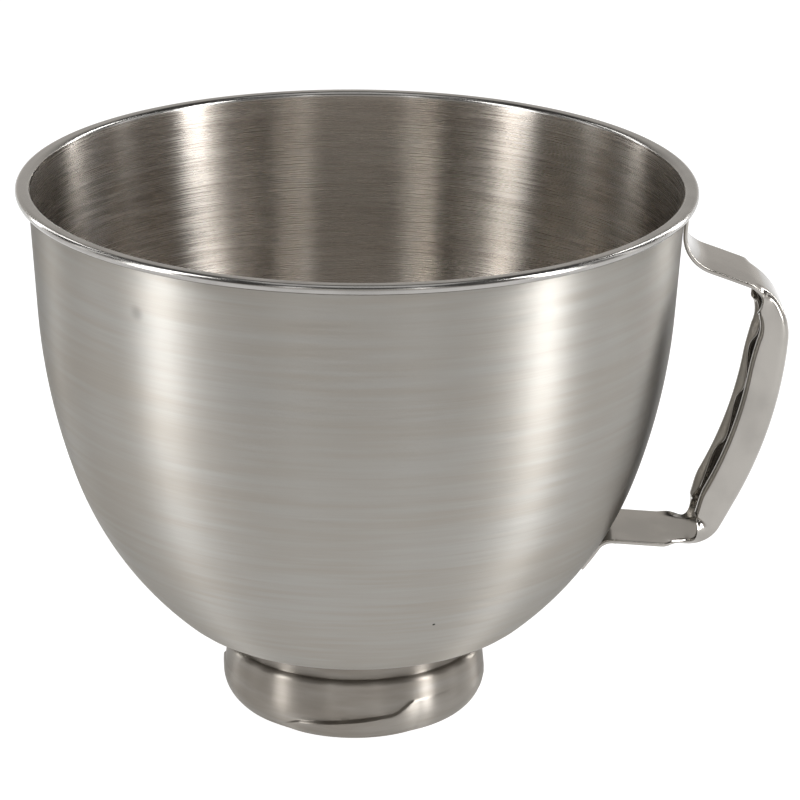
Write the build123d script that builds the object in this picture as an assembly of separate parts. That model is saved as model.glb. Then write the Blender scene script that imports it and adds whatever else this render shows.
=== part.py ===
from build123d import *
import math
import os

# Stand mixer bowl: a drawn and brushed steel shell with a rolled rim, a pressed foot collar
# with bayonet lugs, and a polished strap handle folded into an open channel at its grip.
# Millimetres and degrees. The origin is the centre of the foot's rest plane, Z is up,
# and the handle points along X.

# Bowl shell
overall_height = 181.3      # rest plane to the top of the rolled rim
rim_radius = 112.5          # outside of the rolled rim
rim_overhang = 4.2          # wall outside to rim outside
bead_radius = 1.65          # outside of the rolled edge
bowl_sheet = 0.8
wall_taper = 3.7            # lean of the straight upper wall
shoulder_radius = 212.0     # first and gentler curve below it
shoulder_angle = 15.4
belly_radius = 117.0        # second curve, towards the foot
belly_angle = 29.9
knuckle_radius = 20.0       # tight curve into the flat floor

# Foot collar
foot_radius = 44.2          # widest point of the collar
foot_widest_at = 9.0        # its height
foot_sheet = 1.0
foot_roll_radius = 11.7     # the wall curls under towards the rest plane
collar_lean = 6.0           # the wall closes in a little above its widest point
shoulder_height = 20.3      # top of the collar's shoulder
shoulder_round = 1.8
shoulder_flat = 0.46        # flat ledge between the shoulder and the neck
neck_height = 8.3           # narrow neck between the shoulder and the bowl's floor
neck_round = 1.6
crease_round = 0.4
land_width = 9.0            # flange under the bowl's floor

# Bayonet lugs, pressed outwards from the collar; their angles are from the lug's middle
lug_count = 3
lug_angle = -93.5           # middle of the first lug, from the handle
lug_rise = 2.1              # how far the fat end stands out
lug_shift = 10.2            # the fat end is a rounder wall on a centre moved this far
pad_rise = 0.3              # how far the thin end stands out
lug_start_angle = -40.0     # the upper edge leaves the rest plane
ramp_start_angle = -23.0    # then climbs a slow ramp
ramp_end_angle = 20.0
step_end_angle = 27.5       # and a step up to the level thin end
lug_end_angle = 60.0
ramp_low = 5.2              # height of the upper edge at the ramp's start
ramp_high = 8.8             # at the ramp's end
lug_high = 12.4             # and past the step

# Handle
strap_width = 30.0          # flat legs
strap_sheet = 1.4
weld_gap = 0.2              # between a tab and the wall behind it
tab_length = 9.6
tab_below_rim = 0.8         # clear of the rolled rim's underside
upper_bend_radius = 12.5
upper_leg_angle = -21.0     # slope of the upper leg
upper_leg_run = 13.0
crest_radius = 22.2         # bend from the upper leg into the grip
crest_angle = 73.1
grip_radius = 145.0         # long curve of the grip
grip_angle = 27.5
heel_radius = 12.0          # bend from the grip into the lower leg
lower_leg_angle = 4.3       # the lower leg rises towards the bowl
lower_bend_radius = 5.0

# Channel of the grip: the strap's edges fold down, roll over and end in scalloped lips
grip_width = 23.0
grip_depth = 11.9
throat_depth = 7.5          # depth of the channel where it starts and ends
corner_radius = 3.5
roll_radius = 2.2
lip_angle = 28.0            # the lips lean into the channel
lip_short = 1.4             # lip length between the finger humps
lip_long = 4.0              # and on a hump
hump_count = 4
hump_pitch = 21.0
hump_skew = 0.7             # the lower side of a hump is the steeper one
crown_radius = 2000.0       # a flat strap is drawn with this slight crown
throat_trim = 1.5           # the strap is cut back this much where it starts to fold
throat_edge = 0.25          # least length of each small part of a trimmed edge

# Where that changes along the strap
fold_delay = 1.0            # from the start of the crest's bend to the first fold
fold_run = 12.5
curl_delay = 3.0            # from the finished fold to the start of the rolled edge
curl_run = 5.0
deep_run = 26.0             # from there the channel deepens
first_hump_delay = 1.7      # from the end of the crest's bend to the first hump
shallow_lead = 20.0         # the channel starts to close ahead of the heel's bend
flat_lead = 3.5             # and opens flat from just before the heel's end
flat_run = 8.5              # to a little after it

# Fineness of the handle's sections and of its fit to the wall
station_step = 3.4          # sections are at most this far apart
station_angle = 14.0        # and turned by at most this much
fit_step = 1e-6


def follow(start, heading, moves, shift=0.0):
    """Edges of straight runs and tangent arcs, shifted to their right, with the last point and heading.

    A move is a length and a turn of 0, or a radius and a turn in degrees, left turns positive."""
    angle = math.radians(heading)
    x = start[0] + shift * math.sin(angle)
    y = start[1] - shift * math.cos(angle)
    edges = []
    for size, turn in moves:
        if turn == 0:
            end = (x + size * math.cos(angle), y + size * math.sin(angle))
            edges.append(Edge.make_line((x, y), end))
        else:
            side = math.copysign(1, turn)
            radius = size + side * shift
            centre = (x - side * radius * math.sin(angle), y + side * radius * math.cos(angle))
            points = []
            for share in (0, 0.5, 1):
                at = angle + share * math.radians(turn)
                points.append((centre[0] + side * radius * math.sin(at),
                               centre[1] - side * radius * math.cos(at)))
            edges.append(Edge.make_three_point_arc(*points))
            angle += math.radians(turn)
            end = points[-1]
        x, y = end
    return edges, (x, y), math.degrees(angle)


def sheet_outline(start, heading, moves, thickness):
    """Closed outline of a sheet whose left face follows the moves."""
    left, left_end, _ = follow(start, heading, moves)
    right, right_end, _ = follow(start, heading, moves, thickness)
    angle = math.radians(heading)
    right_start = (start[0] + thickness * math.sin(angle), start[1] - thickness * math.cos(angle))
    return Wire(left + [Edge.make_line(left_end, right_end)] + right[::-1]
                + [Edge.make_line(right_start, start)])


def arc_fall(radius, first_lean, last_lean):
    """Height that an arc falls between two leans from upright."""
    return radius * (math.sin(math.radians(last_lean)) - math.sin(math.radians(first_lean)))


# Places along the bowl's wall, worked out from the driving dimensions
bead_height = overall_height - bead_radius
floor_height = shoulder_height + neck_height
belly_lean = wall_taper + shoulder_angle
knuckle_lean = belly_lean + belly_angle
curved_fall = (arc_fall(shoulder_radius, wall_taper, belly_lean)
               + arc_fall(belly_radius, belly_lean, knuckle_lean)
               + arc_fall(knuckle_radius, knuckle_lean, 90.0))
wall_run = (bead_height - floor_height - curved_fall) / math.cos(math.radians(wall_taper))
wall_start = (rim_radius - rim_overhang, bead_height)
wall_heading = -90.0 - wall_taper
wall_moves = [(wall_run, 0), (shoulder_radius, -shoulder_angle), (belly_radius, -belly_angle),
              (knuckle_radius, knuckle_lean - 90.0)]
floor_radius = follow(wall_start, wall_heading, wall_moves)[1][0]


def wall_at(height):
    """Radius and heading of the wall's outside at a height."""
    point, heading = wall_start, wall_heading
    for size, turn in wall_moves:
        _, end, end_heading = follow(point, heading, [(size, turn)])
        if height >= end[1]:
            break
        point, heading = end, end_heading
    if turn == 0:
        return point[0] + (height - point[1]) / math.tan(math.radians(heading)), heading
    centre = (point[0] + size * math.sin(math.radians(heading)),
              point[1] - size * math.cos(math.radians(heading)))
    lean = math.asin((centre[1] - height) / size)
    return centre[0] + size * math.cos(lean), -90.0 - math.degrees(lean)


def bowl_shell():
    """Shell of even thickness, revolved: floor, belly, wall and an edge rolled outwards."""
    start = (0.0, floor_height + bowl_sheet)
    moves = [(floor_radius, 0)]
    moves += [(size - bowl_sheet, -turn) for size, turn in wall_moves[:0:-1]]
    _, wall_foot, _ = follow(start, 0.0, moves)
    lean = math.radians(wall_taper)
    wall_top = overall_height - bead_radius * (1 - math.sin(lean))
    moves += [((wall_top - wall_foot[1]) / math.cos(lean), 0), (bead_radius, wall_taper - 90.0)]
    _, rim_inner, _ = follow(start, 0.0, moves)
    moves += [(rim_radius - bead_radius - rim_inner[0], 0), (bead_radius, -270.0)]
    return revolve(Plane.XZ * Face(sheet_outline(start, 0.0, moves, bowl_sheet)), Axis.Z)


def collar_wall(inset=0.0):
    """Start and moves of the collar's outside below its shoulder, ending on the rest plane."""
    lean = math.radians(collar_lean)
    roll_start = (foot_radius - foot_roll_radius * (1 - math.cos(lean)),
                  foot_widest_at + foot_roll_radius * math.sin(lean))
    wall_top = shoulder_height - shoulder_round * (1 - math.sin(lean))
    run = (wall_top - roll_start[1]) / math.cos(lean)
    start = (roll_start[0] - run * math.sin(lean), wall_top)
    end_angle = math.degrees(math.asin(foot_widest_at / (foot_roll_radius - inset)))
    return start, [(run, 0), (foot_roll_radius, -collar_lean - end_angle)]


# The neck and the land under the bowl's floor stand inside the shoulder's rounded edge
shoulder_end = collar_wall()[0][0] - shoulder_round * math.cos(math.radians(collar_lean))
neck_radius = shoulder_end - shoulder_flat - crease_round
land_radius = neck_radius - land_width


def filled(start, heading, moves, inset):
    """Solid of revolution from the axis out to a path inset by a thickness, and open below if inset."""
    edges, foot, _ = follow(start, heading, moves, inset)
    top = edges[0] @ 0
    corners = [(foot[0], 0), (foot[0], -inset), (0, -inset), (0, top.Y), (top.X, top.Y)]
    for first, second in zip(corners, corners[1:]):
        if first != second:
            edges.append(Edge.make_line(first, second))
    return revolve(Plane.XZ * Face(Wire(edges)), Axis.Z)


def collar_form(inset):
    """Land under the bowl, neck, shoulder and a wall that curls under, filled."""
    neck_run = neck_height - neck_round - crease_round
    moves = [(land_width - neck_round, 0), (neck_round, -90.0), (neck_run, 0), (crease_round, 90.0),
             (shoulder_flat, 0), (shoulder_round, collar_lean - 90.0)]
    return filled((land_radius, floor_height), 0.0, moves + collar_wall(inset)[1], inset)


def lug_window(inset):
    """Prism seen from outside the lug: ramp, step up and level thin end."""
    upper_edge = [(lug_start_angle, 0), (ramp_start_angle, ramp_low), (ramp_end_angle, ramp_high),
                  (step_end_angle, lug_high), (lug_end_angle, lug_high)]
    corners = [(foot_radius * math.sin(math.radians(angle)), height - inset) for angle, height in upper_edge]
    corners[-1] = (corners[-1][0] - inset, corners[-1][1])
    corners += [(corners[-1][0], -lug_high), (corners[0][0], -lug_high)]
    return extrude(Plane.YZ * make_face(Polyline(*corners, close=True)), 2 * foot_radius)


def lug_form(inset):
    """Pressed lug, filled: a fat end on a shifted centre and a thin end all along."""
    start, moves = collar_wall(inset)
    heading = collar_lean - 90.0
    fat_end = filled((start[0] + lug_rise - lug_shift, start[1]), heading, moves, inset)
    thin_end = filled((start[0] + pad_rise, start[1]), heading, moves, inset)
    return (Pos(lug_shift, 0, 0) * fat_end + thin_end) & lug_window(inset)


def foot_collar():
    """Collar of even sheet, with its lugs pressed out of it and hollow behind."""
    outside, inside = collar_form(0.0), collar_form(foot_sheet)
    raised, recess = lug_form(0.0), lug_form(foot_sheet)
    for index in range(lug_count):
        turn = Rot(0, 0, lug_angle + index * 360.0 / lug_count)
        outside += turn * raised
        inside += turn * recess
    return outside - inside - Cylinder(land_radius, 2 * overall_height)


def wall_seat(height):
    """Point and heading of a tab's outer face at a height on the bowl's wall."""
    radius, heading = wall_at(height)
    off = weld_gap + strap_sheet
    angle = math.radians(heading)
    return (radius - off * math.sin(angle), height + off * math.cos(angle)), heading


def lower_tab(leg_start, leg_heading):
    """Run of the lower leg, and the turn into its tab, where the leg meets the wall."""
    low, high = floor_height, leg_start[1] + tab_length
    ahead = math.radians(leg_heading)
    while high - low > fit_step:
        height = (low + high) / 2
        seat, heading = wall_seat(height)
        down = math.radians(heading)
        gap = (seat[0] - lower_bend_radius * (math.sin(down) - math.sin(ahead)) - leg_start[0],
               seat[1] + lower_bend_radius * (math.cos(down) - math.cos(ahead)) - leg_start[1])
        if gap[1] * math.cos(ahead) > gap[0] * math.sin(ahead):
            low = height
        else:
            high = height
    return gap[0] * math.cos(ahead) + gap[1] * math.sin(ahead), heading - leg_heading


def strap_line():
    """Start, heading and moves of the strap's outer face, from the upper tab to the lower one."""
    start, heading = wall_seat(overall_height - 2 * bead_radius - tab_below_rim)
    moves = [(tab_length, 0), (upper_bend_radius, upper_leg_angle - heading), (upper_leg_run, 0),
             (crest_radius, -crest_angle), (grip_radius, -grip_angle)]
    leg_heading = -180.0 - lower_leg_angle
    grip_heading = upper_leg_angle - crest_angle - grip_angle
    moves.append((heel_radius, leg_heading - grip_heading))
    run, turn = lower_tab(follow(start, heading, moves)[1], leg_heading)
    tab_radius = belly_radius + weld_gap + strap_sheet
    moves += [(run, 0), (lower_bend_radius, turn), (tab_radius, -math.degrees(tab_length / tab_radius))]
    return start, heading, moves


def move_length(size, turn):
    return size * math.radians(abs(turn)) if turn else size


# Places along the strap, from its bends
strap_moves = strap_line()[2]
crest_at, grip_at, heel_at, leg_at = (sum(move_length(*move) for move in strap_moves[:count])
                                      for count in (3, 4, 5, 6))
fold_start = crest_at + fold_delay
fold_end = fold_start + fold_run
curl_start = fold_end + curl_delay
first_hump = grip_at + first_hump_delay
flat_end = leg_at + flat_run


def ease(value, start, end):
    """Smooth step from 0 at start to 1 at end."""
    share = min(1.0, max(0.0, (value - start) / (end - start)))
    return share * share * (3 - 2 * share)


def blend(low, high, share):
    return low + (high - low) * share


def hump(along):
    """Height of the finger humps, 0 to 1, at a length along the strap."""
    count, phase = divmod((along - first_hump) / hump_pitch + hump_skew, 1)
    if not 0 <= count < hump_count:
        return 0.0
    rising = phase / hump_skew
    falling = (1 - phase) / (1 - hump_skew)
    return (1 - math.cos(math.pi * min(rising, falling))) / 2


def section(along, hold):
    """Closed outline of the strap's section: half chains of arcs from lip to lip, given its least bend."""
    still_folded = 1 - ease(along, leg_at - flat_lead, flat_end)
    fold = ease(along, fold_start, fold_end) * still_folded
    curl = ease(along, curl_start, curl_start + curl_run) * still_folded
    closing = ease(along, heel_at - shallow_lead, flat_end)
    deep = ease(along, curl_start, curl_start + deep_run) * (1 - closing)
    depth = blend(throat_depth, grip_depth, deep)
    web = grip_width / 2 - corner_radius
    corner = corner_radius * math.pi / 2
    edge = blend((strap_width / 2 - web - corner) / 3, throat_edge, fold)
    roll = roll_radius * math.radians(90.0 + lip_angle)
    half = [(web, hold), (corner - throat_trim * (fold - curl), max(hold, fold / corner_radius)),
            (blend(edge, depth - corner_radius - roll_radius, curl), hold),
            (blend(edge, roll, curl), max(hold, curl / roll_radius)),
            (blend(edge, blend(lip_short, lip_long, hump(along)), curl), hold)]
    moves = [(1 / bend, math.degrees(length * bend)) for length, bend in half]
    _, (side, drop), heading = follow((0.0, 0.0), 0.0, moves)
    whole = moves[:0:-1] + [(moves[0][0], 2 * moves[0][1])] + moves[1:]
    return sheet_outline((-side, drop), -heading, whole, -strap_sheet)


def stations():
    """Length along the strap, point and heading of each section of the loft."""
    point, heading, moves = strap_line()
    along, places = 0.0, [(0.0, point, heading)]
    for size, turn in moves:
        length = move_length(size, turn)
        count = math.ceil(max(length / station_step, abs(turn) / station_angle))
        for step in range(1, count + 1):
            part = (size, turn * step / count) if turn else (size * step / count, 0)
            _, end, end_heading = follow(point, heading, [part])
            places.append((along + length * step / count, end, end_heading))
        along, point, heading = along + length, end, end_heading
    return places


def strap_handle():
    """Strap lofted through its sections, its tabs bent to the bowl's round wall."""
    places = stations()
    total = places[-1][0]
    wires = []
    for along, (x, z), heading in places:
        angle = math.radians(heading)
        tab_share = max(1 - ease(along, tab_length, fold_start),
                        ease(along, flat_end, total - tab_length))
        hold = blend(1 / crown_radius, abs(math.sin(angle)) / x, tab_share)
        plane = Plane(origin=(x, 0, z), x_dir=(0, -1, 0), z_dir=(math.cos(angle), 0, math.sin(angle)))
        wires.append(plane * section(along, hold))
    return Solid.make_loft(wires)


os.makedirs("parts", exist_ok=True)
export_step(bowl_shell(), "parts/bowl.step")
export_step(foot_collar(), "parts/foot_collar.step")
export_step(strap_handle(), "parts/handle.step")
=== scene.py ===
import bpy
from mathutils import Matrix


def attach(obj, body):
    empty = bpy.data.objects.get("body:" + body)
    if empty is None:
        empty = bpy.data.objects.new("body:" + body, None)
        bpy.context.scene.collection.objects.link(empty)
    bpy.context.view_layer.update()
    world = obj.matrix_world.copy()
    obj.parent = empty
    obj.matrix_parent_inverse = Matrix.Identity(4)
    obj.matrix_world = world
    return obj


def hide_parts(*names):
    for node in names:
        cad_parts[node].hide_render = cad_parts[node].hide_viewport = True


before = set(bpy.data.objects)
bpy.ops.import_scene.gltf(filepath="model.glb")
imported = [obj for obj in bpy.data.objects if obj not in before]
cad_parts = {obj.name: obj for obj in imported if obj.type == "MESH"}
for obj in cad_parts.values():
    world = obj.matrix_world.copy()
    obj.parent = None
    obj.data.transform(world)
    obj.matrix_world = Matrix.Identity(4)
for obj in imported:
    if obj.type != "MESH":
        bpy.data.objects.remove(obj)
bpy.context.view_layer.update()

import math

import bpy
import numpy as np
from mathutils import Matrix, Vector

MM = 0.001

# Bowl shell, as in the solids: millimetres and degrees
OVERALL_HEIGHT, RIM_RADIUS, RIM_OVERHANG, BEAD_RADIUS, BEAD_TURN = 181.3, 112.5, 4.2, 1.65, 270.0
BOWL_SHEET, WALL_TAPER = 0.8, 3.7
SHOULDER_RADIUS, SHOULDER_ANGLE = 212.0, 15.4
BELLY_RADIUS, BELLY_ANGLE = 117.0, 29.9
KNUCKLE_RADIUS = 20.0

# Foot collar, as in the solids
FOOT_RADIUS, FOOT_WIDEST_AT, FOOT_SHEET, FOOT_ROLL = 44.2, 9.0, 1.0, 11.7
COLLAR_LEAN, COLLAR_TOP, COLLAR_ROUND, COLLAR_FLAT = 6.0, 20.3, 1.8, 0.46
NECK_HEIGHT, NECK_ROUND, CREASE_ROUND, LAND_WIDTH = 8.3, 1.6, 0.4, 9.0

# Lugs: angles from a lug's middle. The ledge is rounded and fades out at its ends, more softly
# than in the solids
LUG_COUNT, LUG_ANGLE, LUG_RISE, LUG_SHIFT, PAD_RISE = 3, -93.5, 2.1, 10.2, 0.3
LUG_EDGE = [(-40.0, 0.0), (-23.0, 5.2), (20.0, 8.8), (27.5, 12.4), (60.0, 12.4), (80.0, 0.0)]
LUG_FIRST, LUG_LAST, LUG_RAMP, LUG_FADE = -40.0, 60.0, 16.0, 30.0
LUG_PITCH = 360.0 / LUG_COUNT
LEDGE_BLUR, LEDGE_SAMPLES, LEDGE_SOFT, LOWEST_LEDGE, PAD_BLEND = 1.6, 9, 0.42, 0.02, 0.12

# Handle: its line and its channel, as in the solids
STRAP_WIDTH, STRAP_SHEET, WELD_GAP, TAB_LENGTH, TAB_BELOW_RIM = 30.0, 1.4, 0.2, 9.6, 0.8
UPPER_BEND, UPPER_LEG_ANGLE, UPPER_LEG_RUN = 12.5, -21.0, 13.0
CREST_RADIUS, CREST_ANGLE, GRIP_RADIUS, GRIP_ANGLE = 22.2, 73.1, 145.0, 27.5
HEEL_RADIUS, LOWER_LEG_ANGLE, LOWER_BEND = 12.0, 4.3, 5.0
GRIP_WIDTH, GRIP_DEPTH, THROAT_DEPTH, CORNER_RADIUS, ROLL_RADIUS = 23.0, 11.9, 7.5, 3.5, 2.2
LIP_ANGLE, LIP_SHORT, LIP_LONG = 28.0, 1.4, 4.0
HUMP_COUNT, HUMP_PITCH, HUMP_SKEW = 4, 21.0, 0.7
CROWN_RADIUS, THROAT_TRIM, THROAT_EDGE = 2000.0, 1.5, 0.25

# Where that changes along the strap, counted from its bends. The grip's ends are finer than in
# the solids: the edges curl sooner, and open before the heel, where the channel stays deeper,
# its lips get short and its rolls bulge. The corners are tight at the crest
FOLD_DELAY, FOLD_RUN, CURL_DELAY, CURL_RUN, DEEP_RUN = 1.0, 12.5, -8.0, 10.0, 35.0
CREST_CORNER, CORNER_RUN, OPEN_LEAD, OPEN_RUN = 1.4, 30.0, 13.0, 1.0
SHALLOW_LEAD, SHALLOW_END, HEEL_DEPTH, HEEL_LIP, BULGE, BULGE_LEAD = 10.0, 6.0, 9.0, 0.3, 1.2, 8.0
FIRST_HUMP_DELAY, FLAT_LEAD, FLAT_RUN = 1.7, 3.5, 8.5

# Rounded edge of the strap's sheet: shares of its half turn, and how far it stands out
EDGE_SHARES, EDGE_SWELL = (0.12, 0.3, 0.5, 0.7, 0.88), 0.35

# Fineness: longest step and widest turn between points, then points round the axis
BOWL_STEPS, FOOT_STEPS, STRAP_STEP, STRAP_TURN = (2.4, 9.0), (1.5, 10.0), 0.8, 4.0
BOWL_ROUND, FOOT_ROUND = 360, 684
ROWS_ABOVE, ROWS_ACROSS, ROWS_BELOW = 8, 8, 16
WEB_POINTS, CORNER_POINTS, FLANGE_POINTS, ROLL_POINTS, LIP_POINTS = 6, 8, 3, 9, 3
SHARP_ANGLE, FIT_STEP, ROOT_GUARD = 40.0, 1e-6, 0.01
# An arc tighter than this that turns further takes its points from its turn alone
TIGHT_RADIUS, WIDE_TURN = 30.0, 30.0


def walk(start, heading, moves, shift=0.0, step=1.0, turn_step=4.0):
    """Points along straight runs and tangent arcs shifted to their right, and the last heading.

    A move is a length and a turn of 0, or a radius and a turn in degrees, left turns positive."""
    angle = math.radians(heading)
    x = start[0] + shift * math.sin(angle)
    y = start[1] - shift * math.cos(angle)
    points = [(x, y)]
    for size, turn in moves:
        if turn == 0:
            count = max(1, math.ceil(size / step))
            points += [(x + size * k / count * math.cos(angle), y + size * k / count * math.sin(angle))
                       for k in range(1, count + 1)]
        else:
            side = math.copysign(1, turn)
            radius = size + side * shift
            cx, cy = x - side * radius * math.sin(angle), y + side * radius * math.cos(angle)
            parts = abs(turn) / turn_step
            if abs(turn) < WIDE_TURN or size > TIGHT_RADIUS:
                parts = max(parts, radius * math.radians(abs(turn)) / step)
            count = max(1, math.ceil(parts))
            for k in range(1, count + 1):
                at = angle + math.radians(turn) * k / count
                points.append((cx + side * radius * math.sin(at), cy - side * radius * math.cos(at)))
            angle += math.radians(turn)
        x, y = points[-1]
    return points, math.degrees(angle)


def arc_fall(radius, first_lean, last_lean):
    """How far an arc falls between two leans from upright."""
    return radius * (math.sin(math.radians(last_lean)) - math.sin(math.radians(first_lean)))


# Places along the wall
FLOOR_HEIGHT = COLLAR_TOP + NECK_HEIGHT
WALL_START = (RIM_RADIUS - RIM_OVERHANG, OVERALL_HEIGHT - BEAD_RADIUS)
WALL_HEADING = -90.0 - WALL_TAPER
BELLY_LEAN = WALL_TAPER + SHOULDER_ANGLE
KNUCKLE_LEAN = BELLY_LEAN + BELLY_ANGLE
CURVED_FALL = (arc_fall(SHOULDER_RADIUS, WALL_TAPER, BELLY_LEAN)
               + arc_fall(BELLY_RADIUS, BELLY_LEAN, KNUCKLE_LEAN)
               + arc_fall(KNUCKLE_RADIUS, KNUCKLE_LEAN, 90.0))
WALL_RUN = (WALL_START[1] - FLOOR_HEIGHT - CURVED_FALL) / math.cos(math.radians(WALL_TAPER))
WALL_MOVES = [(WALL_RUN, 0), (SHOULDER_RADIUS, -SHOULDER_ANGLE), (BELLY_RADIUS, -BELLY_ANGLE),
              (KNUCKLE_RADIUS, KNUCKLE_LEAN - 90.0)]
FLOOR_RADIUS = walk(WALL_START, WALL_HEADING, WALL_MOVES)[0][-1][0]


def wall_at(height):
    """Radius and heading of the wall's outside at a height."""
    point, heading = WALL_START, WALL_HEADING
    for size, turn in WALL_MOVES:
        points, end_heading = walk(point, heading, [(size, turn)])
        if height >= points[-1][1]:
            break
        point, heading = points[-1], end_heading
    if turn == 0:
        return point[0] + (height - point[1]) / math.tan(math.radians(heading)), heading
    cx = point[0] + size * math.sin(math.radians(heading))
    cy = point[1] - size * math.cos(math.radians(heading))
    lean = math.asin((cy - height) / size)
    return cx + size * math.cos(lean), -90.0 - math.degrees(lean)


def ease(value, start, end):
    """Share of the way from start to end, smooth at both."""
    share = np.clip((value - start) / (end - start), 0.0, 1.0)
    return share * share * (3 - 2 * share)


def blend(low, high, share):
    return low + (high - low) * share


def add_object(name, data):
    made = bpy.data.objects.new(name, data)
    bpy.context.scene.collection.objects.link(made)
    return made


def make_mesh(name, vertices, faces):
    """Smooth mesh in metres from millimetres, with its sharp edges kept."""
    mesh = bpy.data.meshes.new(name)
    mesh.from_pydata((np.asarray(vertices, float) * MM).tolist(), [], faces)
    mesh.validate()
    mesh.polygons.foreach_set("use_smooth", [True] * len(mesh.polygons))
    mesh.set_sharp_from_angle(angle=math.radians(SHARP_ANGLE))
    return add_object(name, mesh)


def grid_faces(rows, columns, close_rows, close_columns):
    """Four-sided faces between neighbours in rows of points."""
    faces = []
    for i in range(rows if close_rows else rows - 1):
        for j in range(columns if close_columns else columns - 1):
            a, b = i * columns + j, i * columns + (j + 1) % columns
            c, d = (i + 1) % rows * columns + (j + 1) % columns, (i + 1) % rows * columns + j
            faces.append((a, b, c, d))
    return faces


# Bowl: one closed outline turned round the axis, with a material slot for each zone
OUTSIDE, INSIDE, RIM = 0, 1, 2


def bowl_piece():
    start = (0.0, FLOOR_HEIGHT + BOWL_SHEET)
    lean = math.radians(WALL_TAPER)
    wall = [(FLOOR_RADIUS, 0)] + [(size - BOWL_SHEET, -turn) for size, turn in WALL_MOVES[:0:-1]]
    wall_top = OVERALL_HEIGHT - BEAD_RADIUS * (1 - math.sin(lean))
    wall.append(((wall_top - walk(start, 0.0, wall)[0][-1][1]) / math.cos(lean), 0))
    bead = [(BEAD_RADIUS, WALL_TAPER - 90.0)]
    bead.append((RIM_RADIUS - BEAD_RADIUS - walk(start, 0.0, wall + bead)[0][-1][0], 0))
    bead.append((BEAD_RADIUS, -BEAD_TURN))
    inner = walk(start, 0.0, wall + bead, 0.0, *BOWL_STEPS)[0]
    outer = walk(start, 0.0, wall + bead, BOWL_SHEET, *BOWL_STEPS)[0]
    wall_count = len(walk(start, 0.0, wall, 0.0, *BOWL_STEPS)[0])
    outline = inner[1:] + outer[::-1][:-1]
    turns = np.arange(BOWL_ROUND) * 2 * math.pi / BOWL_ROUND
    vertices = [(r * math.cos(a), r * math.sin(a), z) for r, z in outline for a in turns]
    faces = grid_faces(len(outline), BOWL_ROUND, False, True)
    vertices += [(0, 0, start[1]), (0, 0, start[1] - BOWL_SHEET)]
    top, last = len(outline) * BOWL_ROUND, (len(outline) - 1) * BOWL_ROUND
    faces += [(top, (j + 1) % BOWL_ROUND, j) for j in range(BOWL_ROUND)]
    faces += [(top + 1, last + j, last + (j + 1) % BOWL_ROUND) for j in range(BOWL_ROUND)]
    piece = make_mesh("mixing_bowl", vertices, [face[::-1] for face in faces])
    zones = ([INSIDE] * (wall_count - 2) + [RIM] * (len(outline) - 2 * wall_count + 2)
             + [OUTSIDE] * (wall_count - 1))
    zones = np.repeat(zones, BOWL_ROUND).tolist() + [INSIDE] * BOWL_ROUND + [OUTSIDE] * BOWL_ROUND
    piece.data.polygons.foreach_set("material_index", zones)
    return piece


# Foot: the same, with rows that follow the lugs' upper edges
def lug_ledge(angles):
    """By angle round the foot: angle from a lug's middle, height of the lugs' upper edge,
    and share of their rise."""
    local = (angles - LUG_ANGLE + LUG_PITCH / 2) % LUG_PITCH - LUG_PITCH / 2
    local = np.where(local < LUG_FIRST, local + LUG_PITCH, local)
    edge = np.array(LUG_EDGE)
    smooth = np.zeros_like(local)
    for offset in np.linspace(-LEDGE_BLUR, LEDGE_BLUR, LEDGE_SAMPLES):
        smooth += np.interp(local + offset, edge[:, 0], edge[:, 1]) / LEDGE_SAMPLES
    start_share = ease(local, LUG_FIRST, LUG_FIRST + LUG_RAMP)
    present = start_share * (1 - ease(local, LUG_LAST - LUG_FADE, LUG_LAST))
    return local, smooth, present


def lug_swell(local, base):
    """How far a lug stands out from a wall of radius base, by angle from its middle."""
    turn = np.radians(np.clip(local, -LUG_PITCH / 2, LUG_PITCH / 2))
    reach = base - LUG_SHIFT + LUG_RISE
    fat = LUG_SHIFT * np.cos(turn) + np.sqrt(reach ** 2 - (LUG_SHIFT * np.sin(turn)) ** 2) - base
    return 0.5 * (fat + PAD_RISE + np.sqrt((fat - PAD_RISE) ** 2 + PAD_BLEND ** 2))


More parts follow.
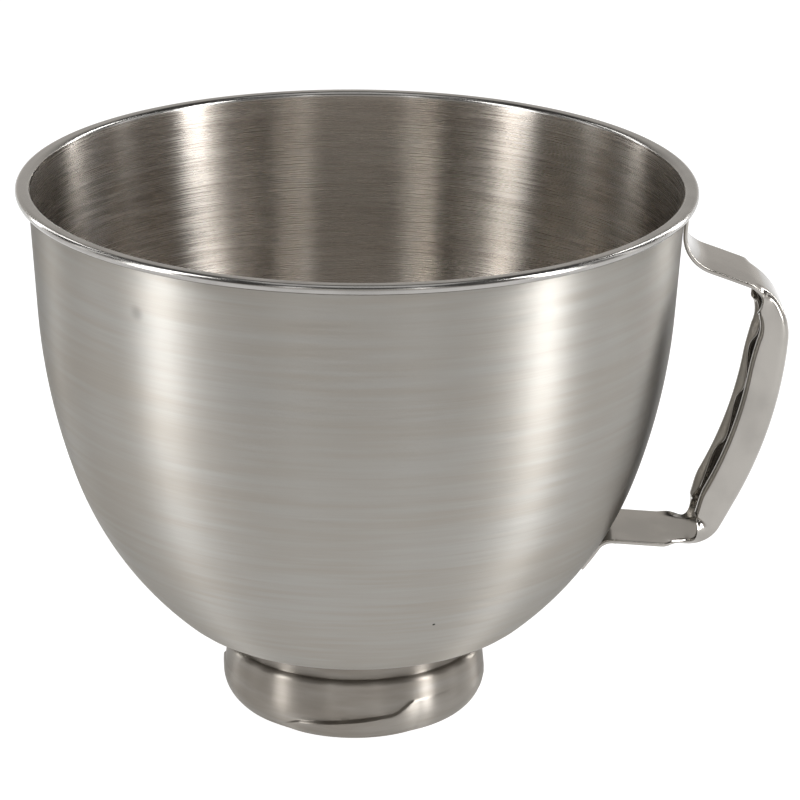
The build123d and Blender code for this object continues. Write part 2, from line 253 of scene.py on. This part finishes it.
def foot_piece():
    lean = math.radians(COLLAR_LEAN)
    wall_top = COLLAR_TOP - COLLAR_ROUND * (1 - math.sin(lean))
    roll = (FOOT_RADIUS - FOOT_ROLL * (1 - math.cos(lean)), FOOT_WIDEST_AT + FOOT_ROLL * math.sin(lean))
    wall_radius = roll[0] - (wall_top - roll[1]) * math.tan(lean)
    shoulder_end = wall_radius - COLLAR_ROUND * math.cos(lean)
    neck_run = NECK_HEIGHT - NECK_ROUND - CREASE_ROUND
    upper = [(LAND_WIDTH - NECK_ROUND, 0), (NECK_ROUND, -90.0), (neck_run, 0), (CREASE_ROUND, 90.0),
             (COLLAR_FLAT, 0), (COLLAR_ROUND, COLLAR_LEAN - 90.0)]
    start = (shoulder_end - COLLAR_FLAT - CREASE_ROUND - LAND_WIDTH, FLOOR_HEIGHT)
    angles = np.arange(FOOT_ROUND) * 360.0 / FOOT_ROUND
    local, ledge, present = lug_ledge(angles)
    cosine, sine = np.cos(np.radians(angles)), np.sin(np.radians(angles))

    def base_radius(z, inset):
        """Radius of the collar's wall at heights z, inset by the sheet."""
        centre = FOOT_RADIUS - FOOT_ROLL
        drop = np.clip(z - FOOT_WIDEST_AT, -FOOT_WIDEST_AT, FOOT_ROLL)
        curved = centre + np.sqrt(np.maximum((FOOT_ROLL - inset) ** 2 - drop ** 2, ROOT_GUARD))
        straight = wall_radius + (wall_top - z) * math.tan(lean) - inset / math.cos(lean)
        return np.where(z < roll[1] - inset * math.sin(lean), curved, straight)

    def wall_rows(inset):
        """Rows of the wall from the shoulder down to the rest plane, above, across and below the ledge."""
        edge = np.maximum(ledge - inset, LOWEST_LEDGE)
        top = wall_top - inset * math.sin(lean)
        levels = []
        for share in np.linspace(0, 1, ROWS_ABOVE + 1)[:-1]:
            levels.append((blend(top, edge + LEDGE_SOFT, share), 0.0))
        for share in np.linspace(0, 1, ROWS_ACROSS + 1)[:-1]:
            levels.append((blend(edge + LEDGE_SOFT, edge - LEDGE_SOFT, share), share))
        for share in np.linspace(0, 1, ROWS_BELOW + 1):
            levels.append((blend(edge - LEDGE_SOFT, 0.0, share), 1.0))
        rows = []
        for z, share in levels:
            z = np.maximum(z, 0.0)
            base = base_radius(z, inset)
            bump = lug_swell(local, base + inset) * present * share * share * (3 - 2 * share)
            rows.append(np.stack([(base + bump) * cosine, (base + bump) * sine, z], 1))
        return rows

    rows = []
    for inset in (0.0, FOOT_SHEET):
        part = [np.stack([r * cosine, r * sine, np.full(FOOT_ROUND, z)], 1)
                for r, z in walk(start, 0.0, upper, inset, *FOOT_STEPS)[0]][:-1]
        part += wall_rows(inset)
        rows += part if inset == 0 else part[::-1]
    return make_mesh("foot_ring", np.concatenate(rows), grid_faces(len(rows), FOOT_ROUND, True, True))


# Handle: sections of arcs along the strap's line
def wall_seat(height):
    """Point of the strap's outer face where a tab lies at a height of the wall, and its heading."""
    radius, heading = wall_at(height)
    off, angle = WELD_GAP + STRAP_SHEET, math.radians(heading)
    return (radius - off * math.sin(angle), height + off * math.cos(angle)), heading


def strap_line():
    """Start, heading and moves of the strap's outer face, with the lower tab fitted to the wall."""
    start, heading = wall_seat(OVERALL_HEIGHT - 2 * BEAD_RADIUS - TAB_BELOW_RIM)
    moves = [(TAB_LENGTH, 0), (UPPER_BEND, UPPER_LEG_ANGLE - heading), (UPPER_LEG_RUN, 0),
             (CREST_RADIUS, -CREST_ANGLE), (GRIP_RADIUS, -GRIP_ANGLE)]
    leg_heading = -180.0 - LOWER_LEG_ANGLE
    moves.append((HEEL_RADIUS, leg_heading - UPPER_LEG_ANGLE + CREST_ANGLE + GRIP_ANGLE))
    leg = walk(start, heading, moves)[0][-1]
    low, high, ahead = FLOOR_HEIGHT, leg[1] + TAB_LENGTH, math.radians(leg_heading)
    while high - low > FIT_STEP:
        height = (low + high) / 2
        seat, seat_heading = wall_seat(height)
        down = math.radians(seat_heading)
        gap = (seat[0] - LOWER_BEND * (math.sin(down) - math.sin(ahead)) - leg[0],
               seat[1] + LOWER_BEND * (math.cos(down) - math.cos(ahead)) - leg[1])
        if gap[1] * math.cos(ahead) > gap[0] * math.sin(ahead):
            low = height
        else:
            high = height
    tab_radius = BELLY_RADIUS + WELD_GAP + STRAP_SHEET
    moves += [(gap[0] * math.cos(ahead) + gap[1] * math.sin(ahead), 0),
              (LOWER_BEND, seat_heading - leg_heading), (tab_radius, -math.degrees(TAB_LENGTH / tab_radius))]
    return start, heading, moves


def move_length(size, turn):
    return size * math.radians(abs(turn)) if turn else size


# Places along the strap, from its bends
CREST_AT, GRIP_AT, HEEL_AT, LEG_AT = (sum(move_length(*move) for move in strap_line()[2][:count])
                                      for count in (3, 4, 5, 6))
FOLD_START = CREST_AT + FOLD_DELAY
FOLD_END = FOLD_START + FOLD_RUN
CURL_START = FOLD_END + CURL_DELAY
FIRST_HUMP = GRIP_AT + FIRST_HUMP_DELAY
FLAT_END = LEG_AT + FLAT_RUN


def hump(along):
    """Share of a finger hump's height at a length along the strap."""
    count, phase = divmod((along - FIRST_HUMP) / HUMP_PITCH + HUMP_SKEW, 1)
    if not 0 <= count < HUMP_COUNT:
        return 0.0
    return (1 - math.cos(math.pi * min(phase / HUMP_SKEW, (1 - phase) / (1 - HUMP_SKEW)))) / 2


def rounded_edge(x, y, angle, ahead):
    """Points round the sheet's edge, from its outer face to its inner one."""
    points = []
    for share in EDGE_SHARES:
        swing = math.pi * share
        out, across = EDGE_SWELL * math.sin(swing), STRAP_SHEET / 2 * (1 - math.cos(swing))
        points.append((x + ahead * out * math.cos(angle) - across * math.sin(angle),
                       y + ahead * out * math.sin(angle) + across * math.cos(angle)))
    return points


def strap_section(along, hold):
    """Closed loop of points round the strap's section at a length along it.

    Hold is the least curvature, which the tabs take from the wall."""
    still_folded = 1 - ease(along, LEG_AT - FLAT_LEAD, FLAT_END)
    still_curled = 1 - ease(along, LEG_AT - OPEN_LEAD, LEG_AT + OPEN_RUN)
    fold = ease(along, FOLD_START, FOLD_END) * still_folded
    curl = ease(along, CURL_START, CURL_START + CURL_RUN) * still_curled
    closing = ease(along, HEEL_AT - SHALLOW_LEAD, HEEL_AT + SHALLOW_END)
    depth = blend(THROAT_DEPTH, GRIP_DEPTH, ease(along, CURL_START, CURL_START + DEEP_RUN))
    depth = blend(depth, HEEL_DEPTH, closing)
    roll_radius = ROLL_RADIUS * blend(1.0, BULGE, ease(along, HEEL_AT - BULGE_LEAD, LEG_AT))
    wider = ease(along, FOLD_START, FOLD_START + CORNER_RUN) * (1 - closing)
    radius = blend(CREST_CORNER, CORNER_RADIUS, wider)
    web = GRIP_WIDTH / 2 - radius
    corner = radius * math.pi / 2
    edge = blend((STRAP_WIDTH / 2 - web - corner) / 3, THROAT_EDGE, fold)
    roll = roll_radius * math.radians(90.0 + LIP_ANGLE)
    lip = blend(LIP_SHORT, LIP_LONG, hump(along)) * blend(1.0, HEEL_LIP, closing)
    half = [(web, hold, WEB_POINTS),
            (corner - THROAT_TRIM * (fold - curl), max(hold, fold / radius), CORNER_POINTS),
            (blend(edge, depth - radius - roll_radius, curl), hold, FLANGE_POINTS),
            (blend(edge, roll, curl), max(hold, curl / roll_radius), ROLL_POINTS),
            (blend(edge, lip, curl), hold, LIP_POINTS)]
    x = y = angle = 0.0
    line = [(x, y, angle)]
    for length, bend, count in half:
        for _ in range(count):
            turn = length * bend / count
            chord = 2 / bend * math.sin(turn / 2)
            x, y = x + chord * math.cos(angle + turn / 2), y + chord * math.sin(angle + turn / 2)
            angle += turn
            line.append((x, y, angle))
    whole = [(-px, py, -pa) for px, py, pa in line[:0:-1]] + line
    outer = [(px, py) for px, py, pa in whole]
    inner = [(px - STRAP_SHEET * math.sin(pa), py + STRAP_SHEET * math.cos(pa)) for px, py, pa in whole]
    return outer + rounded_edge(*whole[-1], 1) + inner[::-1] + rounded_edge(*whole[0], -1)[::-1]


def handle_piece():
    point, heading, moves = strap_line()
    along, places = 0.0, [(0.0, point, heading)]
    for size, turn in moves:
        length = move_length(size, turn)
        count = math.ceil(max(length / STRAP_STEP, abs(turn) / STRAP_TURN))
        for k in range(1, count + 1):
            part = (size, turn * k / count) if turn else (size * k / count, 0)
            points, end_heading = walk(point, heading, [part])
            places.append((along + length * k / count, points[-1], end_heading))
        along, point, heading = places[-1]
    tab_top = along - TAB_LENGTH
    vertices, columns = [], 0
    for s, (x, z), heading in places:
        angle = math.radians(heading)
        tab_share = max(1 - ease(s, TAB_LENGTH, FOLD_START), ease(s, FLAT_END, tab_top))
        hold = blend(1 / CROWN_RADIUS, abs(math.sin(angle)) / x, tab_share)
        loop = strap_section(s, hold)
        columns = len(loop)
        vertices += [(x + v * math.sin(angle), -u, z - v * math.cos(angle)) for u, v in loop]
    faces = grid_faces(len(places), columns, False, True)
    last = (len(places) - 1) * columns
    for first, flip in ((0, True), (last, False)):
        for j in range(columns // 2 - 1):
            quad = (first + j, first + j + 1, first + columns - 2 - j, first + columns - 1 - j)
            faces.append(quad if flip else quad[::-1])
    return make_mesh("strap_handle", vertices, faces)


# Materials: every number that is the same all over a surface is set on the shader itself
STREAKS_ALONG_AXIS = 0.25
# Brush lines: length in turns round the axis, and pitch in metres
FINE_LINES, BROAD_LINES, DRIFT_LINES = (0.25, 0.00035), (0.5, 0.003), (0.9, 0.03)
# Parts of the noise that change the tint, the grain's shade and the roughness
CLOUD_RANGE, GRAIN_RANGE, ROUGH_RANGE, ROUGH_SPREAD = (0.7, 1.3), (0.25, 0.75), (0.2, 0.8), 0.05
# Polished steel: scale and detail of its patches and its waviness
PATCHES, WAVES, WAVE_STRENGTH, WAVE_DEPTH = (60.0, 4.0), (220.0, 3.0), 0.35, 0.00002
PATCH_RANGE, HAZE_RANGE, PATCH_SHADE = (0.35, 0.7), (0.3, 0.75), 0.86


def material(name):
    made = bpy.data.materials.new(name)
    made.use_nodes = True
    nodes = made.node_tree.nodes
    return made, nodes, made.node_tree.links, nodes["Principled BSDF"]


def math_node(nodes, links, operation, *inputs):
    """Output of a math node fed by sockets or numbers."""
    node = nodes.new("ShaderNodeMath")
    node.operation = operation
    for slot, value in enumerate(inputs):
        if isinstance(value, (int, float)):
            node.inputs[slot].default_value = value
        else:
            links.new(value, node.inputs[slot])
    return node.outputs[0]


def vector_node(nodes, links, operation, first, second=None):
    """Vector math node fed by one or two sockets."""
    node = nodes.new("ShaderNodeVectorMath")
    node.operation = operation
    links.new(first, node.inputs[0])
    if second is not None:
        links.new(second, node.inputs[1])
    return node


def noise_node(nodes, links, vector, scale, detail=2.0):
    node = nodes.new("ShaderNodeTexNoise")
    node.inputs["Scale"].default_value = scale
    node.inputs["Detail"].default_value = detail
    links.new(vector, node.inputs["Vector"])
    return node.outputs["Fac"]


def range_node(nodes, links, value, low, high, to_low, to_high):
    """Smooth step from one range of numbers to another."""
    node = nodes.new("ShaderNodeMapRange")
    node.interpolation_type = "SMOOTHSTEP"
    for name, number in (("From Min", low), ("From Max", high), ("To Min", to_low), ("To Max", to_high)):
        node.inputs[name].default_value = number
    links.new(value, node.inputs["Value"])
    return node.outputs["Result"]


def mix_node(nodes, links, share, first, second, blend_type="MIX"):
    """Colour mix of sockets or colours."""
    node = nodes.new("ShaderNodeMix")
    node.data_type = "RGBA"
    node.blend_type = blend_type
    for slot, value in ((0, share), (6, first), (7, second)):
        if isinstance(value, bpy.types.NodeSocket):
            links.new(value, node.inputs[slot])
        else:
            node.inputs[slot].default_value = value
    return node.outputs[2]


def shaded(nodes, links, color, shade):
    """Colour multiplied by a number."""
    grey = nodes.new("ShaderNodeCombineColor")
    for slot in range(3):
        links.new(shade, grey.inputs[slot])
    return mix_node(nodes, links, 1.0, color, grey.outputs[0], "MULTIPLY")


def round_coordinates(nodes, links):
    """Place on the piece, its place on a unit circle round the axis, and its height plus radius."""
    place = nodes.new("ShaderNodeTexCoord").outputs["Object"]
    parts = nodes.new("ShaderNodeSeparateXYZ")
    links.new(place, parts.inputs[0])
    x, y, z = parts.outputs
    squares = [math_node(nodes, links, "MULTIPLY", part, part) for part in (x, y)]
    radius = math_node(nodes, links, "SQRT", math_node(nodes, links, "ADD", *squares))
    safe = math_node(nodes, links, "MAXIMUM", radius, MM)
    circle = [math_node(nodes, links, "DIVIDE", part, safe) for part in (x, y)]
    return place, circle, math_node(nodes, links, "ADD", z, radius)


def brush_lines(nodes, links, circle, along, length, pitch):
    """Noise drawn out round the axis: length in turns, pitch in metres."""
    joined = nodes.new("ShaderNodeCombineXYZ")
    for slot, (value, size) in enumerate(((circle[0], length), (circle[1], length), (along, pitch))):
        links.new(math_node(nodes, links, "MULTIPLY", value, 1 / size), joined.inputs[slot])
    return noise_node(nodes, links, joined.outputs[0], 1.0)


def darker_near(nodes, links, place, color, point, core, reach, dark):
    """Colour multiplied by dark within core of a point, and fading to none at reach: millimetres."""
    away = nodes.new("ShaderNodeVectorMath")
    away.operation = "DISTANCE"
    links.new(place, away.inputs[0])
    away.inputs[1].default_value = [part * MM for part in point]
    shade = range_node(nodes, links, away.outputs["Value"], core * MM, reach * MM, dark, 1.0)
    return shaded(nodes, links, color, shade)


def brushed_metal(name, tint, other_tint, rough, grain, anisotropic, sway, cloud, edge, marks=()):
    """Steel brushed round the axis. Grain is how dark the brush lines get, sway tilts them, cloud is
    how much the tint wanders, and edge is how bright it gets at a glancing angle."""
    made, nodes, links, shader = material(name)
    shader.inputs["Metallic"].default_value = 1.0
    shader.inputs["Anisotropic"].default_value = anisotropic
    shader.inputs["Anisotropic Rotation"].default_value = STREAKS_ALONG_AXIS
    shader.inputs["Specular Tint"].default_value = (edge, edge, edge, 1)
    place, circle, along = round_coordinates(nodes, links)
    fine, broad, drift = (brush_lines(nodes, links, circle, along, *lines)
                          for lines in (FINE_LINES, BROAD_LINES, DRIFT_LINES))
    clouds = math_node(nodes, links, "ADD", broad, drift)
    share = range_node(nodes, links, clouds, *CLOUD_RANGE, 0.0, cloud)
    color = mix_node(nodes, links, share, (*tint, 1), (*other_tint, 1))
    color = shaded(nodes, links, color, range_node(nodes, links, fine, *GRAIN_RANGE, 1 - grain, 1.0))
    for mark in marks:
        color = darker_near(nodes, links, place, color, *mark)
    links.new(color, shader.inputs["Base Color"])
    links.new(range_node(nodes, links, fine, *ROUGH_RANGE, rough - ROUGH_SPREAD, rough + ROUGH_SPREAD),
              shader.inputs["Roughness"])
    tangent = nodes.new("ShaderNodeTangent")
    tangent.direction_type = "RADIAL"
    tangent.axis = "Z"
    links.new(tangent.outputs["Tangent"], shader.inputs["Tangent"])
    mixed = math_node(nodes, links, "ADD", fine, broad)
    tilt = vector_node(nodes, links, "SCALE", tangent.outputs["Tangent"])
    links.new(math_node(nodes, links, "MULTIPLY", math_node(nodes, links, "SUBTRACT", mixed, 1.0), sway),
              tilt.inputs["Scale"])
    normal = nodes.new("ShaderNodeNewGeometry").outputs["Normal"]
    leaned = vector_node(nodes, links, "ADD", normal, tilt.outputs[0])
    links.new(vector_node(nodes, links, "NORMALIZE", leaned.outputs[0]).outputs[0], shader.inputs["Normal"])
    return made


def polished_metal(name, tint, rough, haze):
    """Polished steel: a clear reflection with a faint waviness and patches of haze."""
    made, nodes, links, shader = material(name)
    shader.inputs["Metallic"].default_value = 1.0
    place = nodes.new("ShaderNodeTexCoord").outputs["Object"]
    patch = noise_node(nodes, links, place, *PATCHES)
    shade = (*[part * PATCH_SHADE for part in tint], 1)
    color = mix_node(nodes, links, range_node(nodes, links, patch, *PATCH_RANGE, 0.0, 1.0), (*tint, 1), shade)
    links.new(color, shader.inputs["Base Color"])
    links.new(range_node(nodes, links, patch, *HAZE_RANGE, rough, rough + haze), shader.inputs["Roughness"])
    bump = nodes.new("ShaderNodeBump")
    bump.inputs["Strength"].default_value = WAVE_STRENGTH
    bump.inputs["Distance"].default_value = WAVE_DEPTH
    links.new(noise_node(nodes, links, place, *WAVES), bump.inputs["Height"])
    links.new(bump.outputs["Normal"], shader.inputs["Normal"])
    return made


# Marks outside: a small dark spot low at the front and a smudge under the rim at the left, each with its
# point, core and reach in millimetres, and how dark it is
DARK_SPOT = ((23.6, -76.1, 54.6), 0.25, 0.65, 0.04)
SMUDGE = ((-71.1, -80.1, 162.2), 0.3, 3.6, 0.72)

# Pieces
bowl, foot, handle = bowl_piece(), foot_piece(), handle_piece()
bowl.data.materials.append(brushed_metal(
    "brushed_outside", tint=(0.396, 0.385, 0.363), other_tint=(0.366, 0.341, 0.306), rough=0.45,
    grain=0.09, anisotropic=0.90, sway=0.035, cloud=0.9, edge=0.45, marks=(DARK_SPOT, SMUDGE)))
bowl.data.materials.append(brushed_metal(
    "brushed_inside", tint=(0.53, 0.496, 0.456), other_tint=(0.466, 0.424, 0.382), rough=0.265,
    grain=0.16, anisotropic=0.975, sway=0.02, cloud=0.8, edge=0.9))
bowl.data.materials.append(polished_metal("polished_rim", tint=(0.37, 0.36, 0.345), rough=0.16, haze=0.08))
foot.data.materials.append(brushed_metal(
    "polished_foot", tint=(0.310, 0.290, 0.264), other_tint=(0.255, 0.232, 0.204), rough=0.36,
    grain=0.05, anisotropic=0.97, sway=0.015, cloud=1.0, edge=0.6))
handle.data.materials.append(polished_metal("polished_handle", tint=(0.36, 0.343, 0.318), rough=0.12,
                                            haze=0.08))
for piece, node, slot_name in ((bowl, "bowl", "brushed_shell"), (foot, "foot_collar", "polished_foot"),
                               (handle, "handle", "polished_handle")):
    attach(piece, "root")
    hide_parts(node)


# Floor: white to the eye and in the steel, with the shadow kept
FLOOR_HALF, FLOOR_TONE, FLOOR_ROUGHNESS, FLOOR_GLOW = 6.0, 0.3, 0.9, 0.92


def floor_piece():
    mesh = bpy.data.meshes.new("studio_floor")
    corners = [(x * FLOOR_HALF, y * FLOOR_HALF, 0) for x, y in ((-1, -1), (1, -1), (1, 1), (-1, 1))]
    mesh.from_pydata(corners, [], [(0, 1, 2, 3)])
    floor = add_object("studio_floor", mesh)
    made, nodes, links, shader = material("floor_paint")
    shader.inputs["Base Color"].default_value = (FLOOR_TONE, FLOOR_TONE, FLOOR_TONE, 1)
    shader.inputs["Roughness"].default_value = FLOOR_ROUGHNESS
    rays = nodes.new("ShaderNodeLightPath").outputs
    steel = math_node(nodes, links, "MAXIMUM", rays["Is Glossy Ray"], rays["Is Transmission Ray"])
    seen = math_node(nodes, links, "MAXIMUM", rays["Is Camera Ray"], steel)
    shader.inputs["Emission Color"].default_value = (1, 1, 1, 1)
    links.new(math_node(nodes, links, "MULTIPLY", seen, FLOOR_GLOW), shader.inputs["Emission Strength"])
    floor.data.materials.append(made)


# Softboxes: turn from the camera's side (positive to its right), distance from the axis, height
# of the middle, width, height and brightness, in degrees and metres
CAMERA_SIDE, AIM_HEIGHT = -91.5, 0.1
SOFTBOXES = [("left_strip", -65.0, 0.54, 0.35, 0.13, 0.66, 8.0),
             ("right_strip", 65.0, 0.85, 0.45, 0.15, 0.86, 15.0),
             ("left_rear", -124.0, 0.85, 0.45, 0.09, 0.80, 6.5),
             ("right_rear", 126.0, 0.85, 0.45, 0.08, 0.80, 15.0),
             ("left_side", -97.0, 0.90, 0.50, 0.12, 0.70, 1.8),
             ("right_side", 97.0, 0.90, 0.50, 0.12, 0.70, 1.8),
             ("left_front", -21.0, 1.10, 0.75, 0.09, 0.60, 2.7),
             ("right_front", 21.0, 1.10, 0.75, 0.09, 0.60, 2.7),
             ("top_softbox", 0.0, 0.15, 1.6, 1.0, 1.0, 1.0)]


def softbox(name, turn, distance, middle, width, tall, brightness):
    angle = math.radians(CAMERA_SIDE + turn)
    place = Vector((distance * math.cos(angle), distance * math.sin(angle), middle))
    data = bpy.data.lights.new(name, "AREA")
    data.shape = "RECTANGLE"
    data.size, data.size_y = width, tall
    data.energy = brightness * math.pi * width * tall
    lamp = add_object(name, data)
    lamp.location = place
    lamp.rotation_euler = (Vector((0, 0, AIM_HEIGHT)) - place).to_track_quat("-Z", "Y").to_euler()


# World: strength at the sides, in front of the bowl, behind it and low down, and where each
# fades, as parts of the direction's depth and height
WORLD_TINT = (1.0, 0.96, 0.91, 1)
WORLD_SIDES, WORLD_FRONT, WORLD_BACK, WORLD_LOW = 0.06, 0.80, 0.66, 0.80
FRONT_FADE, BACK_FADE, LOW_FADE = (-0.97, -0.72), (0.5, 0.85), (0.05, 0.22)


def studio_world():
    """Dim warm studio, paler in front of the bowl and behind it than at its sides, and pale low down."""
    world = bpy.data.worlds.new("studio")
    bpy.context.scene.world = world
    world.use_nodes = True
    nodes, links = world.node_tree.nodes, world.node_tree.links
    parts = nodes.new("ShaderNodeSeparateXYZ")
    links.new(nodes.new("ShaderNodeTexCoord").outputs["Generated"], parts.inputs[0])
    nodes["Background"].inputs["Color"].default_value = WORLD_TINT
    front = range_node(nodes, links, parts.outputs[1], *FRONT_FADE, WORLD_FRONT, WORLD_SIDES)
    back = range_node(nodes, links, parts.outputs[1], *BACK_FADE, WORLD_SIDES, WORLD_BACK)
    dim = math_node(nodes, links, "MAXIMUM", front, back)
    level = math_node(nodes, links, "ABSOLUTE", parts.outputs[2])
    low = range_node(nodes, links, level, *LOW_FADE, WORLD_LOW, 0.0)
    links.new(math_node(nodes, links, "MAXIMUM", dim, low), nodes["Background"].inputs["Strength"])


# The camera of the photograph, found from the outlines of the rim, foot and wall
CAMERA_DISTANCE, CAMERA_HEIGHT, FOCAL_PIXELS, FRAME_PIXELS = 1480.98, 627.63, 4693.05, 800.0
PITCH, YAW, ROLL, HANDLE_TURN = 19.443, 0.570, 0.538, 1.5
SENSOR_WIDTH = 36.0


def camera_piece():
    pitch, yaw, roll = (math.radians(v) for v in (PITCH, YAW, ROLL))
    forward = Vector((math.sin(yaw) * math.cos(pitch), math.cos(yaw) * math.cos(pitch), -math.sin(pitch)))
    right = Vector((math.cos(yaw), -math.sin(yaw), 0))
    up = right.cross(forward)
    right, up = (math.cos(roll) * right + math.sin(roll) * up, -math.sin(roll) * right + math.cos(roll) * up)
    place = Vector((0, -CAMERA_DISTANCE, CAMERA_HEIGHT)) * MM
    pose = Matrix.Identity(4)
    for column, axis in enumerate((right, up, -forward, place)):
        pose.col[column][:3] = axis
    data = bpy.data.cameras.new("camera")
    data.sensor_width = SENSOR_WIDTH
    data.lens = FOCAL_PIXELS / FRAME_PIXELS * SENSOR_WIDTH
    camera = add_object("camera", data)
    camera.matrix_world = Matrix.Rotation(math.radians(-HANDLE_TURN), 4, "Z") @ pose
    bpy.context.scene.camera = camera


floor_piece()
for box in SOFTBOXES:
    softbox(*box)
studio_world()
camera_piece()
bpy.context.scene.view_settings.view_transform = "Standard"
